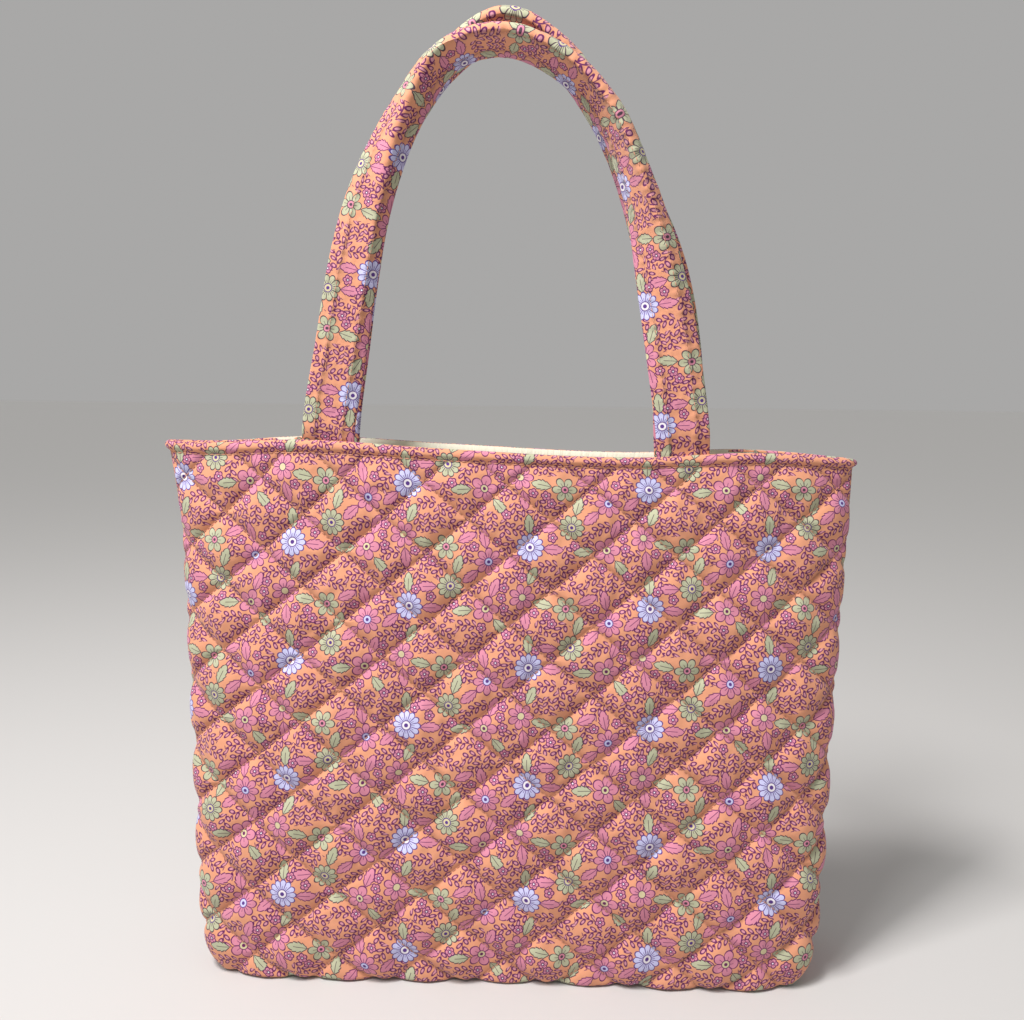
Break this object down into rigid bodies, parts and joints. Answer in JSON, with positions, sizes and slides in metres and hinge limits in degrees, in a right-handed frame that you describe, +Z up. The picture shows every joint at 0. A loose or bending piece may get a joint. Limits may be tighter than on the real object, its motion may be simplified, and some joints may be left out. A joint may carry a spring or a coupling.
{
  "type": "knitting bag",
  "caption": "Quilted fabric tote for knitting: boxed soft body, open lined mouth and upright shoulder straps that fold down.",
  "frame": {"origin": "middle of the base, on the surface the bag stands on", "axes": "+Z up to the straps, +X along the bag's width, -Y towards the front panel"},
  "size_m": [0.4194, 0.09, 0.5879],
  "materials": {
    "printed_cotton": "matt",
    "strap_cotton": "matt",
    "cream_lining": "matt",
    "cotton_wadding": "matt",
    "strap_core": "matt",
    "sewing_thread": "matt"
  },
  "bodies": {
    "bag": {"outer_front_panel": "printed_cotton", "outer_back_panel": "printed_cotton", "wadding_front": "cotton_wadding", "wadding_back": "cotton_wadding", "lining_front": "cream_lining", "lining_back": "cream_lining", "quilting_thread_front": "sewing_thread", "quilting_thread_back": "sewing_thread", "rim_topstitch_front": "sewing_thread", "rim_topstitch_back": "sewing_thread", "rim_seam_thread_front": "sewing_thread", "rim_seam_thread_back": "sewing_thread", "side_seam_thread_left": "sewing_thread", "side_seam_thread_right": "sewing_thread", "base_seam_thread": "sewing_thread", "lining_seam_thread": "sewing_thread", "front_strap_tails": "strap_cotton", "back_strap_tails": "strap_cotton"},
    "front_strap": {"front_strap": "strap_cotton", "front_strap_core": "strap_core", "front_strap_topstitch": "sewing_thread"},
    "back_strap": {"back_strap": "strap_cotton", "back_strap_core": "strap_core", "back_strap_topstitch": "sewing_thread"}
  },
  "joints": [
    {"name": "front_strap_fold", "type": "hinge", "parent": "bag", "child": "front_strap", "pos_m": [0, -0.0237, 0.333], "axis": [1, 0, 0], "range_deg": [0, 165]},
    {"name": "back_strap_fold", "type": "hinge", "parent": "bag", "child": "back_strap", "pos_m": [0, 0.0237, 0.333], "axis": [-1, 0, 0], "range_deg": [0, 165]}
  ]
}
